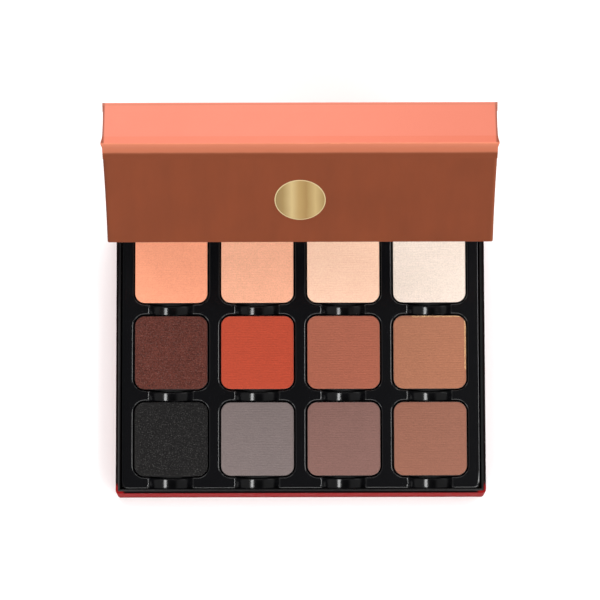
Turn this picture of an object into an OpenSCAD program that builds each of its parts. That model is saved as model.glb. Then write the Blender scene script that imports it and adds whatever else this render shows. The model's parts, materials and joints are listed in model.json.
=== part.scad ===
// Board eyeshadow palette: a paper-wrapped box with a moulded insert, twelve lift-out pans,
// and a wrapped cover whose lid, front wall and closing flap fold on paper creases.
// Origin: centre of the base's underside. +X right, +Y to the hinge, +Z up. Millimetres.

/* [Pans] */
// Width of a pan, left to right
pan_w = 19.7; // [16:0.1:26]
// Depth of a pan, front to back
pan_d = 20; // [16:0.1:26]
// Radius of a pan's corners
pan_corner = 2.7; // [1.5:0.1:5]
// Height of the tin without its powder
pan_h = 3.8; // [3:0.1:5]
// Thickness of the tin sheet
tin_t = 0.25; // [0.15:0.05:0.4]
// Height of the pressed powder above the tin's rim
powder_cap = 0.3; // [0.1:0.1:0.6]
// How far the powder's edge stays inside the tin's outer face
powder_inset = 0.1; // [0.05:0.05:0.3]

/* [Insert] */
// Gap between a pan and its well, all round
well_clear = 0.4; // [0.2:0.1:0.8]
// Space between neighbouring pans, left to right
col_gap = 3.7; // [3.4:0.1:8]
// Space between neighbouring pans, front to back
row_gap = 3.6; // [3.4:0.1:8]
// Insert beyond the outer pans at the left and right
side_margin = 3.5; // [2.5:0.1:8]
// Insert beyond the outer pans at the front and back
end_margin = 3.35; // [2.5:0.05:8]
// Thickness of the moulded sheet
insert_t = 0.8; // [0.5:0.1:1]
// Radius of the insert's corners
insert_corner = 1.9; // [1.2:0.1:3]
// Width of a thumb notch at the insert's top face
notch_w = 11.9; // [8:0.1:14]
// Depth of a thumb notch
notch_depth = 3.5; // [2:0.1:4]
// How far the powder lies below the insert's top face
pan_sink = 0.1; // [0.1:0.1:0.6]

/* [Base box] */
// Height of the base
base_h = 12; // [11:0.5:20]
// Thickness of the board in the base's walls
wall_board_t = 0.8; // [0.6:0.1:2]
// Thickness of the board in the base's floor
floor_board_t = 1.5; // [1:0.1:2]
// Thickness of the wrapping and lining paper
paper_t = 0.2; // [0.1:0.05:0.3]
// Glue gap where a side board butts against the front or back board
butt_gap = 0.05; // [0.02:0.01:0.1]
// How far the wrap laps over the top of the wall board
rim_lap = 0.6; // [0.3:0.1:0.7]
// Gap between the box's lining and the insert
insert_gap = 0.35; // [0.2:0.05:1]
// Radius of the box's upright corners
box_corner = 0.9; // [0.7:0.1:1.5]
// How far the spine paper stops short of the box's sides and floor
spine_inset = 1; // [0.5:0.5:5]

/* [Cover] */
// Thickness of the board in the cover
cover_board_t = 1.2; // [0.8:0.1:2]
// Gap between the shut lid and the base's rim
lid_gap = 0.3; // [0.2:0.1:0.8]
// Gap between the shut cover's front wall and the base
front_gap = 0.4; // [0.3:0.1:1]
// Length of the paper-only strip between the fold and the flap's board
crease_len = 3.6; // [2.4:0.1:6]
// Gap between the front wall's board and the fold, so that the flap can bend back
board_gap = 0.6; // [0.5:0.05:1.2]
// Length of the closing flap's board panel
flap_len = 34; // [28:1:50]
// How much narrower the flap is than the lid
flap_trim = 0.2; // [0:0.1:2]
// Gap between a rounded fold and the panel it turns against
fold_clear = 0.06; // [0.04:0.01:0.1]
// Angle of the lid from shut
lid_open = 100; // [92:1:108]
// Angle that the front wall springs open past square
wall_spring = 15; // [0:1:30]
// Bend at the fold between the front wall and the flap
flap_bend = 82.5; // [40:0.5:90]

/* [Mirror] */
// Thickness of the mirror glass
mirror_t = 0.8; // [0.6:0.1:2]
// Thickness of the adhesive pad behind the mirror
pad_t = 0.2; // [0.1:0.1:0.5]
// How far the mirror stays inside the base's lining
mirror_inset = 3; // [1:0.5:10]
// How far the adhesive pad stays inside the mirror
pad_inset = 4; // [1:0.5:10]
// Radius of the mirror's corners
mirror_corner = 2; // [1:0.5:5]
// Gap between the shut mirror and the insert
mirror_clear = 0.3; // [0.2:0.1:1]

/* [Magnets] */
// Diameter of the magnet under each well
pan_magnet_d = 8; // [5:0.5:12]
// Thickness of the magnet under each well
pan_magnet_t = 1.2; // [0.8:0.1:1.6]
// Diameter of a magnet in the flap
flap_magnet_d = 10; // [6:0.5:14]
// Thickness of a magnet in the flap
flap_magnet_t = 0.9; // [0.5:0.1:1]
// Distance of the flap's magnets from the start of its board
flap_magnet_reach = 26; // [18:0.5:27]
// Distance of each flap magnet from the middle
flap_magnet_x = 28; // [15:1:38]
// Width of a catch plate
catch_w = 14; // [8:0.5:20]
// Depth of a catch plate
catch_d = 11; // [8:0.5:20]
// Thickness of a catch plate
catch_t = 0.8; // [0.4:0.1:1]

/* [Foil oval] */
// Width of the foil oval
foil_w = 13.1; // [8:0.1:20]
// Length of the foil oval, along the flap
foil_len = 15.2; // [8:0.1:20]
// Thickness of the foil
foil_t = 0.06; // [0.04:0.01:0.1]
// Distance of the oval's centre from the start of the flap's board
foil_reach = 17.6; // [11:0.1:20]

/* [Hidden] */

$fn = 48;
over = 1; // how far a cutter runs past the face it cuts
cols = 4;
rows = 3;

// Insert and box, built outwards from the pans
col_pitch = pan_w + col_gap;
row_pitch = pan_d + row_gap;
insert_w = (cols - 1) * col_pitch + pan_w + 2 * side_margin;
insert_d = (rows - 1) * row_pitch + pan_d + 2 * end_margin;
wrap_and_board = paper_t + wall_board_t;
rim_w = wrap_and_board + paper_t;
base_w = insert_w + 2 * (rim_w + insert_gap);
base_d = insert_d + 2 * (rim_w + insert_gap);
floor_top = paper_t + floor_board_t;

// Heights: the insert lies just deep enough below the rim for the shut mirror
insert_top = base_h + lid_gap - mirror_t - pad_t - mirror_clear;
well_floor = insert_top - pan_sink - powder_cap - pan_h;
notch_r = (notch_w * notch_w / 4 + notch_depth * notch_depth) / (2 * notch_depth);
notch_z = insert_top - notch_depth + notch_r;

// Cover: every panel turns about an axis in the middle of its paper fold
cover_t = cover_board_t + 2 * paper_t;
fold_r = paper_t;
fold_set = fold_r + fold_clear;
inner_face = fold_r - cover_t; // a panel's inner face, seen from its fold axis
hinge_y = base_d / 2;
hinge_z = base_h + fold_set;
lid_rise = base_h + lid_gap + cover_t - hinge_z;
lid_len = base_d + front_gap + cover_t - fold_r;
wall_len = base_h + lid_gap;
mitre_set = fold_clear * sqrt(2);
flap_w = base_w - flap_trim;
catch_y = flap_magnet_reach - base_d / 2;

pan_colors = [
    [0.98, 0.65, 0.51], [0.95, 0.70, 0.57], [0.99, 0.80, 0.69], [0.99, 0.91, 0.83],
    [0.24, 0.14, 0.13], [0.79, 0.30, 0.19], [0.69, 0.40, 0.33], [0.72, 0.49, 0.36],
    [0.17, 0.17, 0.16], [0.52, 0.47, 0.47], [0.53, 0.40, 0.37], [0.64, 0.43, 0.36]];
red_paper = [0.76, 0.16, 0.15];
black_paper = [0.06, 0.05, 0.06];
coral_paper = [1, 0.60, 0.50];
tan_paper = [0.78, 0.46, 0.35];
brown_paper = [0.56, 0.30, 0.21];
grey_board = [0.62, 0.59, 0.54];
tin = [0.80, 0.80, 0.80];
magnet_grey = [0.45, 0.46, 0.48];

// ---- shared shapes ----

// A rectangle with round corners, centred
module round_rect(w, d, r) {
    square([w - 2 * r, d], center = true);
    square([w, d - 2 * r], center = true);
    for (x = [-1, 1], y = [-1, 1])
        translate([x * (w / 2 - r), y * (d / 2 - r)]) circle(r);
}

// A round-cornered block standing from z = low to z = high, inset from the box's outline
module box_block(inset, low, high) {
    translate([0, 0, low]) linear_extrude(high - low)
        round_rect(base_w - 2 * inset, base_d - 2 * inset, max(box_corner - inset, 0.1));
}

// A round-cornered block of any size standing from z = low to z = high
module block(w, d, r, low, high) {
    translate([0, 0, low]) linear_extrude(high - low) round_rect(w, d, r);
}

// A profile drawn as [y, z] and stretched w wide along X, centred
module stretch_x(w) {
    rotate([90, 0, 90]) linear_extrude(w, center = true) children();
}

// Places: columns run left to right, rows run back to front
function pan_at(i) = [
    (i % cols - (cols - 1) / 2) * col_pitch,
    ((rows - 1) / 2 - floor(i / cols)) * row_pitch,
    well_floor];

module each_pan() {
    for (i = [0 : cols * rows - 1]) translate([pan_at(i)[0], pan_at(i)[1], 0]) children();
}

module on_lid() { translate([0, hinge_y, hinge_z]) rotate([-lid_open, 0, 0]) children(); }

module on_wall() {
    on_lid() translate([0, -lid_len, lid_rise - fold_r]) rotate([90 - wall_spring, 0, 0])
        children();
}

module on_crease() {
    on_wall() translate([0, -wall_len, 0]) rotate([flap_bend, 0, 0]) children();
}

module on_flap() { on_crease() translate([0, -crease_len, 0]) children(); }

// ---- base ----

// The sheet glued under the box, over the turned-in edges of the wrap
module base_sheet() {
    color(red_paper) box_block(0, 0, paper_t);
}

module base_bottom() {
    color(grey_board) box_block(paper_t, paper_t, floor_top);
}

// Front and back boards run the full width, and the side boards butt against them
module base_walls() {
    board_mid = paper_t + wall_board_t / 2;
    side_d = base_d - 2 * (wrap_and_board + butt_gap);
    color(grey_board) intersection() {
        box_block(paper_t, floor_top, base_h - paper_t);
        union() {
            for (y = [-1, 1]) translate([0, y * (base_d / 2 - board_mid), base_h / 2])
                cube([base_w, wall_board_t, base_h], center = true);
            for (x = [-1, 1]) translate([x * (base_w / 2 - board_mid), 0, base_h / 2])
                cube([wall_board_t, side_d, base_h], center = true);
        }
    }
}

// The wrap covers the sides and laps over the top of the wall boards
module base_wrap() {
    color(red_paper) difference() {
        box_block(0, paper_t, base_h);
        box_block(paper_t, paper_t - over, base_h - paper_t);
        box_block(paper_t + rim_lap, base_h - paper_t - over, base_h + over);
    }
}

module base_lining() {
    color(black_paper) difference() {
        union() {
            box_block(wrap_and_board, floor_top, base_h);
            box_block(paper_t + rim_lap, base_h - paper_t, base_h);
        }
        box_block(rim_w, floor_top - over, base_h + over);
    }
}

module spine_paper() {
    color(red_paper) translate([0, base_d / 2, spine_inset])
        translate([spine_inset - base_w / 2, 0, 0])
            cube([base_w - 2 * spine_inset, paper_t, base_h - spine_inset]);
}

// ---- insert ----

module well(grow, low, high) {
    block(pan_w + 2 * (well_clear + grow), pan_d + 2 * (well_clear + grow),
        pan_corner + well_clear + grow, low, high);
}

// A round valley in front of each pan; the front row's runs out through the insert's edge
module notches(r, past_edge) {
    for (i = [0 : cols * rows - 1]) {
        back = pan_at(i)[1] - pan_d / 2;
        front = i < cols * (rows - 1) ? back - row_gap : -insert_d / 2 - past_edge;
        translate([pan_at(i)[0], back, notch_z])
            rotate([90, 0, 0]) cylinder(h = back - front, r = r, $fn = 96);
    }
}

module insert_tray() {
    color(black_paper) difference() {
        block(insert_w, insert_d, insert_corner, floor_top, insert_top);
        each_pan() well(0, well_floor, insert_top + over);
        notches(notch_r, over);
        difference() {
            block(insert_w - 2 * insert_t, insert_d - 2 * insert_t, insert_corner - insert_t,
                floor_top - over, insert_top - insert_t);
            each_pan() well(insert_t, well_floor - insert_t, insert_top);
            notches(notch_r + insert_t, 0);
        }
    }
}

module pan_magnets() {
    color(magnet_grey) each_pan()
        translate([0, 0, well_floor - insert_t - pan_magnet_t])
            cylinder(h = pan_magnet_t, d = pan_magnet_d);
}

module catch_plates() {
    color(tin) for (x = [-1, 1])
        translate([x * flap_magnet_x - catch_w / 2, catch_y - catch_d / 2, floor_top])
            cube([catch_w, catch_d, catch_t]);
}

// ---- pans ----

module godet(n) {
    color(tin) translate(pan_at(n - 1)) difference() {
        block(pan_w, pan_d, pan_corner, 0, pan_h);
        block(pan_w - 2 * tin_t, pan_d - 2 * tin_t, pan_corner - tin_t, tin_t, pan_h + over);
    }
}

module powder(n) {
    color(pan_colors[n - 1]) translate(pan_at(n - 1)) {
        block(pan_w - 2 * tin_t, pan_d - 2 * tin_t, pan_corner - tin_t, tin_t, pan_h);
        block(pan_w - 2 * powder_inset, pan_d - 2 * powder_inset, pan_corner - powder_inset,
            pan_h, pan_h + powder_cap);
    }
}

// ---- cover panels: each runs from its fold axis towards -Y, outer face up ----

// Side view of the lid: square at the hinge, mitred at the front fold
module lid_profile() {
    top = lid_rise;
    low = lid_rise - cover_t;
    polygon([[0, low], [0, top], [-lid_len, top], [-lid_len + mitre_set, top - fold_r],
        [-lid_len + mitre_set + cover_t - fold_r, low]]);
}

// Side view of the front wall: mitred at the lid, its board stopping short of the crease
module wall_profile() {
    difference() {
        polygon([[0, fold_r], [-mitre_set, 0], [inner_face - mitre_set, inner_face],
            [-wall_len + board_gap, inner_face], [-wall_len + board_gap, 0],
            [-wall_len + fold_set, 0], [-wall_len + fold_set, fold_r]]);
        circle(fold_set);
    }
}

module flap_profile() {
    polygon([[0, fold_r], [0, inner_face], [-flap_len, inner_face], [-flap_len, fold_r]]);
}

// The part of a panel between two heights, narrowed and shortened at its free ends
module layer(w, back, front, low, high) {
    intersection() {
        stretch_x(w) children();
        translate([-w / 2, -front, low]) cube([w, front - back, high - low]);
    }
}

module round_fold(w, y, z) {
    translate([-w / 2, y, z]) rotate([0, 90, 0]) cylinder(h = w, r = fold_r);
}

module lid_board() {
    color(grey_board) on_lid()
        layer(base_w - 2 * paper_t, paper_t, lid_len + over,
            lid_rise - cover_t + paper_t, lid_rise - paper_t) lid_profile();
}

module lid_wrap() {
    color(coral_paper) on_lid() {
        difference() {
            stretch_x(base_w) lid_profile();
            translate([paper_t - base_w / 2, -lid_len - over, lid_rise - cover_t - over])
                cube([base_w - 2 * paper_t, lid_len + over - paper_t,
                    cover_t - paper_t + over]);
        }
        round_fold(base_w, 0, 0);
        round_fold(base_w, -lid_len, lid_rise - fold_r);
    }
}

module lid_liner() {
    color(black_paper) on_lid()
        layer(base_w - 2 * paper_t, paper_t, lid_len + over,
            lid_rise - cover_t, lid_rise - cover_t + paper_t) lid_profile();
}

// A round-cornered sheet glued under the lid, within the rim of the shut box
module lid_sheet(inset, corner, low, high) {
    on_lid() translate([0, -base_d / 2, lid_rise - cover_t])
        block(base_w - 2 * (rim_w + inset), base_d - 2 * (rim_w + inset), corner, low, high);
}

module mirror_pad() {
    color(black_paper)
        lid_sheet(mirror_inset + pad_inset, mirror_corner, -pad_t, 0);
}

module mirror_glass() {
    color([0.80, 0.84, 0.86])
        lid_sheet(mirror_inset, mirror_corner, -pad_t - mirror_t, -pad_t);
}

module wall_board() {
    color(grey_board) on_wall()
        layer(base_w - 2 * paper_t, 0, wall_len,
            inner_face + paper_t, fold_r - paper_t) wall_profile();
}

module wall_wrap() {
    color(coral_paper) on_wall() difference() {
        stretch_x(base_w) wall_profile();
        translate([paper_t - base_w / 2, -wall_len - over, inner_face - over])
            cube([base_w - 2 * paper_t, wall_len + 2 * over, cover_t - paper_t + over]);
    }
}

module wall_liner() {
    color(black_paper) on_wall()
        layer(base_w - 2 * paper_t, 0, wall_len,
            inner_face, inner_face + paper_t) wall_profile();
}

// The paper-only strip, round at its fold, split into its outer and inner paper
module crease_half(low) {
    on_crease() intersection() {
        union() {
            round_fold(flap_w, 0, 0);
            translate([-flap_w / 2, -crease_len, -fold_r])
                cube([flap_w, crease_len, 2 * fold_r]);
        }
        translate([-flap_w / 2 - over, -crease_len, low])
            cube([flap_w + 2 * over, crease_len + over, fold_r]);
    }
}

module crease_paper() { color(tan_paper) crease_half(0); }

module crease_lining() { color(black_paper) crease_half(-fold_r); }

module flap_board() {
    color(grey_board) on_flap() difference() {
        layer(flap_w - 2 * paper_t, 0, flap_len - paper_t,
            inner_face + paper_t, fold_r - paper_t) flap_profile();
        flap_magnet_places() cylinder(h = flap_magnet_t + over, d = flap_magnet_d);
    }
}

// Pockets open towards the flap's inner face
module flap_magnet_places() {
    for (x = [-1, 1])
        translate([x * flap_magnet_x, -flap_magnet_reach, inner_face + paper_t + flap_magnet_t])
            rotate([180, 0, 0]) children();
}

module flap_magnets() {
    color(magnet_grey) on_flap()
        flap_magnet_places() cylinder(h = flap_magnet_t, d = flap_magnet_d);
}

module flap_wrap() {
    color(brown_paper) on_flap() difference() {
        stretch_x(flap_w) flap_profile();
        translate([paper_t - flap_w / 2, -flap_len + paper_t, inner_face - over])
            cube([flap_w - 2 * paper_t, flap_len, cover_t - paper_t + over]);
    }
}

module flap_liner() {
    color(black_paper) on_flap()
        layer(flap_w - 2 * paper_t, 0, flap_len - paper_t,
            inner_face, inner_face + paper_t) flap_profile();
}

module foil_oval() {
    color([0.80, 0.70, 0.45]) on_flap() translate([0, -foil_reach, fold_r])
        scale([foil_w, foil_len, 1]) cylinder(h = foil_t, d = 1, $fn = 96);
}

base_sheet();
base_bottom();
base_walls();
base_wrap();
base_lining();
insert_tray();
pan_magnets();
catch_plates();
spine_paper();
godet(1);  // godet_1
godet(2);  // godet_2
godet(3);  // godet_3
godet(4);  // godet_4
godet(5);  // godet_5
godet(6);  // godet_6
godet(7);  // godet_7
godet(8);  // godet_8
godet(9);  // godet_9
godet(10);  // godet_10
godet(11);  // godet_11
godet(12);  // godet_12
powder(1);  // powder_1
powder(2);  // powder_2
powder(3);  // powder_3
powder(4);  // powder_4
powder(5);  // powder_5
powder(6);  // powder_6
powder(7);  // powder_7
powder(8);  // powder_8
powder(9);  // powder_9
powder(10);  // powder_10
powder(11);  // powder_11
powder(12);  // powder_12
lid_board();
lid_wrap();
lid_liner();
mirror_pad();
mirror_glass();  // mirror
wall_board();
wall_wrap();
wall_liner();
crease_paper();
crease_lining();
flap_board();
flap_wrap();
flap_liner();
flap_magnets();
foil_oval();
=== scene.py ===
import json
import math

import bmesh
import bpy
from mathutils import Matrix, Vector
from mathutils.geometry import delaunay_2d_cdt

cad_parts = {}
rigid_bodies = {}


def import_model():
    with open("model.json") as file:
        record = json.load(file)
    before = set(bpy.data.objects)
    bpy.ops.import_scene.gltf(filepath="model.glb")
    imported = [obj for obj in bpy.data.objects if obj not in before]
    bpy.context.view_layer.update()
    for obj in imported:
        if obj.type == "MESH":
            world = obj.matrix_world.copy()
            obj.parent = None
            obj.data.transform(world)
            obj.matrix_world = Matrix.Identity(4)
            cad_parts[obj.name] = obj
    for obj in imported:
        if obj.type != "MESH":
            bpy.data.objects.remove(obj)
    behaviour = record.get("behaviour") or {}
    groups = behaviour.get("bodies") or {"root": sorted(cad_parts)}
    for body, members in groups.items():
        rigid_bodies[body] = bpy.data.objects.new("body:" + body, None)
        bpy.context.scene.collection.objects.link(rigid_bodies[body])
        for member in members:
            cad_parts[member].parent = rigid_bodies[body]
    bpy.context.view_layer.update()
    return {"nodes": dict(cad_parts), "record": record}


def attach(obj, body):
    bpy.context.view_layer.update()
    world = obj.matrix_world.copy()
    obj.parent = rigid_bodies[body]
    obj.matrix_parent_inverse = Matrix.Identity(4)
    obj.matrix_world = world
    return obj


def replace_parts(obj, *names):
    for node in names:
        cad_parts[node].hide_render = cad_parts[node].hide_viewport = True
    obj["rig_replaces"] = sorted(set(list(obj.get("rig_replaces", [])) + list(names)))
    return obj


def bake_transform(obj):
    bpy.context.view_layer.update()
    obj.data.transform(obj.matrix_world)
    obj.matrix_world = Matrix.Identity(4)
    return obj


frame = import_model()
mm = 0.001
palette = {"width": 100.0, "depth": 77.0, "height": 12.0}  # the base, in millimetres
print("frame loaded:", len(frame["nodes"]), "nodes")


class Wire:  # a socket of a shader or geometry tree; maths on it adds Math nodes
    def __init__(self, tree, socket):
        self.tree, self.socket = tree, socket

    def maths(self, operation, *terms):
        return addNode(self.tree, "ShaderNodeMath", {"operation": operation}, dict(enumerate(terms)))

    def __add__(self, other):
        return self.maths("ADD", self, other)

    def __radd__(self, other):
        return self.maths("ADD", other, self)

    def __sub__(self, other):
        return self.maths("SUBTRACT", self, other)

    def __rsub__(self, other):
        return self.maths("SUBTRACT", other, self)

    def __mul__(self, other):
        return self.maths("MULTIPLY", self, other)

    def __rmul__(self, other):
        return self.maths("MULTIPLY", other, self)

    def __truediv__(self, other):
        return self.maths("DIVIDE", self, other)

    def __rtruediv__(self, other):
        return self.maths("DIVIDE", other, self)

    def __neg__(self):
        return self.maths("MULTIPLY", self, -1)

    def __abs__(self):
        return self.maths("ABSOLUTE", self)

    def __gt__(self, other):
        return self.maths("GREATER_THAN", self, other)

    def __lt__(self, other):
        return self.maths("LESS_THAN", self, other)

    def atLeast(self, other):
        return self.maths("MAXIMUM", self, other)

    def atMost(self, other):
        return self.maths("MINIMUM", self, other)

    def clamped(self):
        return self.atLeast(0).atMost(1)

    def sine(self):
        return self.maths("SINE", self)

    def root(self):
        return self.maths("SQRT", self)


def addNode(tree, kind, settings=None, sockets=None, out=0):
    made = tree.nodes.new(kind)
    for key, value in (settings or {}).items():
        if key == "stops":
            setStops(made.color_ramp, value)
        else:
            setattr(made, key, value)
    for key, value in (sockets or {}).items():
        if isinstance(value, Wire):
            tree.links.new(value.socket, made.inputs[key])
        else:
            made.inputs[key].default_value = value
    return Wire(tree, made.outputs[out]) if made.outputs else made


def setStops(band, stops):  # each stop is (place, colour); a new ramp already has two
    for stop, (place, colour) in zip((band.elements[0], band.elements[-1]), (stops[0], stops[-1])):
        stop.position, stop.color = place, (*colour, 1)
    for place, colour in stops[1:-1]:
        band.elements.new(place).color = (*colour, 1)


def split(wire):  # the X, Y and Z of a vector wire
    parts = addNode(wire.tree, "ShaderNodeSeparateXYZ", {}, {0: wire}).socket.node
    return [Wire(wire.tree, parts.outputs[i]) for i in range(3)]


def tone(red, green, blue):  # a screen colour, 0 to 255, as the shader's linear colour
    def linear(value):
        return ((value / 255 + 0.055) / 1.055) ** 2.4 if value > 10 else value / 255 / 12.92
    return linear(red), linear(green), linear(blue)


def noise(coords, grain, detail=2, rough=0.5):  # grain is the size of a blot in millimetres
    sockets = {"Vector": coords, "Scale": 1 / (grain * mm), "Detail": detail, "Roughness": rough}
    return addNode(coords.tree, "ShaderNodeTexNoise", {}, sockets, "Fac")


def stretched(coords, x, y, z):  # a factor below 1 draws a pattern out along that axis
    return addNode(coords.tree, "ShaderNodeVectorMath", {"operation": "MULTIPLY"}, {0: coords, 1: (x, y, z)})


def marked(coords, name):  # a value that the mesh carries at its points
    return addNode(coords.tree, "ShaderNodeAttribute", {"attribute_name": name}, {}, "Fac")


def ramp(value, stops):
    return addNode(value.tree, "ShaderNodeValToRGB", {"stops": stops}, {"Fac": value}, "Color")


def mix(factor, one, two):  # colour one where the factor is 0, colour two where it is 1
    node = addNode(factor.tree, "ShaderNodeMix", {"data_type": "RGBA"}, {0: factor}).socket.node
    for index, value in ((6, one), (7, two)):  # the node's own numbers for its colour sockets
        if isinstance(value, Wire):
            factor.tree.links.new(value.socket, node.inputs[index])
        else:
            node.inputs[index].default_value = (*value, 1)
    return Wire(factor.tree, node.outputs[2])


def bump(height, strength, reach):  # reach is in millimetres
    sockets = {"Height": height, "Strength": strength, "Distance": reach * mm}
    return addNode(height.tree, "ShaderNodeBump", {}, sockets, "Normal")


def finish(name, fill):  # fill takes the object's coordinates and returns the Principled sockets
    made = bpy.data.materials.new(name)
    made.use_nodes = True
    tree = made.node_tree
    tree.nodes.clear()
    coords = addNode(tree, "ShaderNodeTexCoord", {}, {}, "Object")
    surface = addNode(tree, "ShaderNodeBsdfPrincipled", {}, fill(coords), "BSDF")
    addNode(tree, "ShaderNodeOutputMaterial", {}, {"Surface": surface})
    return made


def tinted(wire, colour, dark, light, low=0.25, high=0.75):  # the colour gets lighter as the wire rises
    shade = tuple(c * dark for c in colour)
    shine = tuple(min(c * light, 1) for c in colour)
    return ramp(wire, [(low, shade), (high, shine)])


def paper(name, colour, rough, blot, gloss=0.2):  # blot is how far the colour strays either way
    def fill(coords):
        cloud = noise(coords, 9, 3)
        fibre = noise(coords, 0.35, 4, 0.6)
        return {"Base Color": tinted(cloud * 0.7 + fibre * 0.3, tone(*colour), 1 - blot, 1 + blot),
                "Roughness": rough - 0.08 + noise(coords, 1.6, 3) * 0.16,
                "Specular IOR Level": gloss,
                "Normal": bump(fibre + noise(coords, 2.2, 2) * 0.6, 0.25, 0.02)}
    return finish(name, fill)


def printed(body, cloud, fibre, rough, gloss, tooth):  # the sockets that the cover's printed papers share
    return {"Base Color": body, "Roughness": rough + fibre * 0.14, "Specular IOR Level": gloss,
            "Normal": bump(fibre + cloud * 0.4, tooth, 0.02)}


coralLook = {"left": (216, 122, 98), "middle": (216, 121, 97), "right": (205, 111, 87), "worn": (197, 99, 76),
             "edgeShade": (134, 67, 46), "foldShadeTone": (186, 107, 81), "rough": 0.44, "gloss": 0.35, "tooth": 0.2,
             "edgeShadeFrom": 49.3, "foldShadeAt": 3.95, "foldShadeReach": 0.4}  # places in millimetres


def coralBody(coords, cloud, fibre):  # painted shade makes the side edges browner, and the colour darkens towards the right
    across = split(coords)[0]
    side = (across / (palette["width"] * mm) + 0.5).clamped()
    body = ramp(side, [(i / 2, tone(*coralLook[key])) for i, key in enumerate(("left", "middle", "right"))])
    worn = mix((cloud * 0.5 + fibre * 0.5 - 0.42).clamped() * 0.5, body, tone(*coralLook["worn"]))
    # painted shade along the side edges
    edgeShade = ((abs(across) / mm - coralLook["edgeShadeFrom"]) * 3).clamped()
    return mix(edgeShade * 0.9, worn, tone(*coralLook["edgeShade"]))


def coralFill(coords):
    cloud, fibre = noise(coords, 8, 3), noise(coords, 0.3, 4, 0.6)
    body = coralBody(coords, cloud, fibre)
    return printed(body, cloud, fibre, coralLook["rough"], coralLook["gloss"], coralLook["tooth"])


def cornerFill(coords):  # the coral wrap over the top corner, with painted shade along the fold
    along = marked(coords, "along")
    cloud, fibre = noise(coords, 8, 3), noise(coords, 0.3, 4, 0.6)
    # painted shade: a browner band along the fold
    foldShade = (1 - abs(along - coralLook["foldShadeAt"]) / coralLook["foldShadeReach"]).clamped() * (0.8 + cloud * 0.5)
    body = mix(foldShade * 0.6, coralBody(coords, cloud, fibre), tone(*coralLook["foldShadeTone"]))
    return printed(body, cloud, fibre, coralLook["rough"], coralLook["gloss"], coralLook["tooth"])


creaseLook = {"fade": [(0.0, (215, 130, 102)), (0.27, (208, 124, 95)), (0.31, (189, 110, 82)),
                       (0.45, (178, 102, 75)), (0.64, (173, 98, 70)), (0.71, (122, 62, 36)),
                       (0.76, (114, 53, 25)), (1.0, (114, 53, 25))],  # along the run, from the wall; the tan stops in the middle are partly painted shade over the fold
              "run": 8.4, "coralTo": 0.22, "rough": 0.5, "gloss": 0.15, "tooth": 0.22}


def creaseFill(coords):  # coral fading to brown, drawn along the strip: partly the print's change of colour, partly painted shade over the fold
    along = marked(coords, "along")
    cloud, fibre = noise(coords, 6, 3), noise(coords, 0.3, 4, 0.6)
    shifted = along / creaseLook["run"] + (cloud - 0.5) * 0.03
    fade = ramp(shifted, [(place, tone(*colour)) for place, colour in creaseLook["fade"]])
    start = ((shifted - creaseLook["coralTo"]) * 20).clamped()
    body = mix(start, coralBody(coords, cloud, fibre), fade)
    return printed(body, cloud, fibre, creaseLook["rough"], creaseLook["gloss"], creaseLook["tooth"])


brownLook = {"dark": (108, 50, 23), "light": (120, 56, 27), "right": (147, 81, 50), "left": (86, 41, 22),
             "edgeFrom": 49.0, "rough": 0.5, "gloss": 0.15, "tooth": 0.22}


def brownFill(coords):  # streaked down the flap, with painted shade on the left edge and a painted highlight on the right one
    across = split(coords)[0]
    streak = noise(stretched(coords, 1, 0.18, 0.18), 5, 4, 0.6)
    cloud = noise(coords, 14, 3)
    fibre = noise(coords, 0.3, 4, 0.6)
    stops = [(0.3, tone(*brownLook["dark"])), (0.7, tone(*brownLook["light"]))]
    body = ramp(streak * 0.6 + cloud * 0.4, stops)
    edge = ((abs(across) / mm - brownLook["edgeFrom"]) * 1.6).clamped()
    side = (across / mm).clamped()  # 1 on the right half, 0 on the left
    # painted highlight on the right edge, painted shade on the left
    lit = mix(edge * side * 0.45, body, tone(*brownLook["right"]))
    dim = mix(edge * (1 - side) * 0.55, lit, tone(*brownLook["left"]))
    return printed(dim, cloud, fibre, brownLook["rough"], brownLook["gloss"], brownLook["tooth"])


redLook = {"cloth": (142, 15, 17), "floorShade": (93, 7, 8), "weave": (111, 9, 11), "rim": (8, 0, 1),
           "floorShadeTo": 5, "frontFrom": 35.6, "sideFrom": 47.5}


def redFill(coords):  # painted shade darkens the red towards the table; the rim is near-black, partly a dark lap and partly painted shade, save at the two front corners, which stay a lit red
    rim = marked(coords, "rim")
    across, back, up = split(coords)
    fibre = noise(coords, 0.3, 4, 0.6)
    # painted shade near the table
    low = (1 - up / (redLook["floorShadeTo"] * mm)).clamped()
    body = mix(low * 0.6, tone(*redLook["cloth"]), tone(*redLook["floorShade"]))
    cloth = mix(fibre * 0.3, body, tone(*redLook["weave"]))
    # the two front corners keep their red, as painted light
    nearFront = ((-back / mm - redLook["frontFrom"]) / 1.2).clamped()
    nearCorner = nearFront * ((abs(across) / mm - redLook["sideFrom"]) / 0.8).clamped()
    return {"Base Color": mix(rim * (1 - nearCorner * 0.9), cloth, tone(*redLook["rim"])),
            "Roughness": 0.66 + fibre * 0.12, "Specular IOR Level": 0.06, "Normal": bump(fibre, 0.25, 0.02)}


def insertFill(coords):  # black moulded plastic with a fine speckle
    speck = noise(coords, 0.16, 2, 0.7)
    swirl = noise(coords, 3.5, 3)
    return {"Base Color": mix(swirl, tone(10, 10, 12), tone(14, 14, 16)), "Roughness": 0.1 + speck * 0.09,
            "Specular IOR Level": 0.42, "Normal": bump(speck, 0.35, 0.012)}


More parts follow.
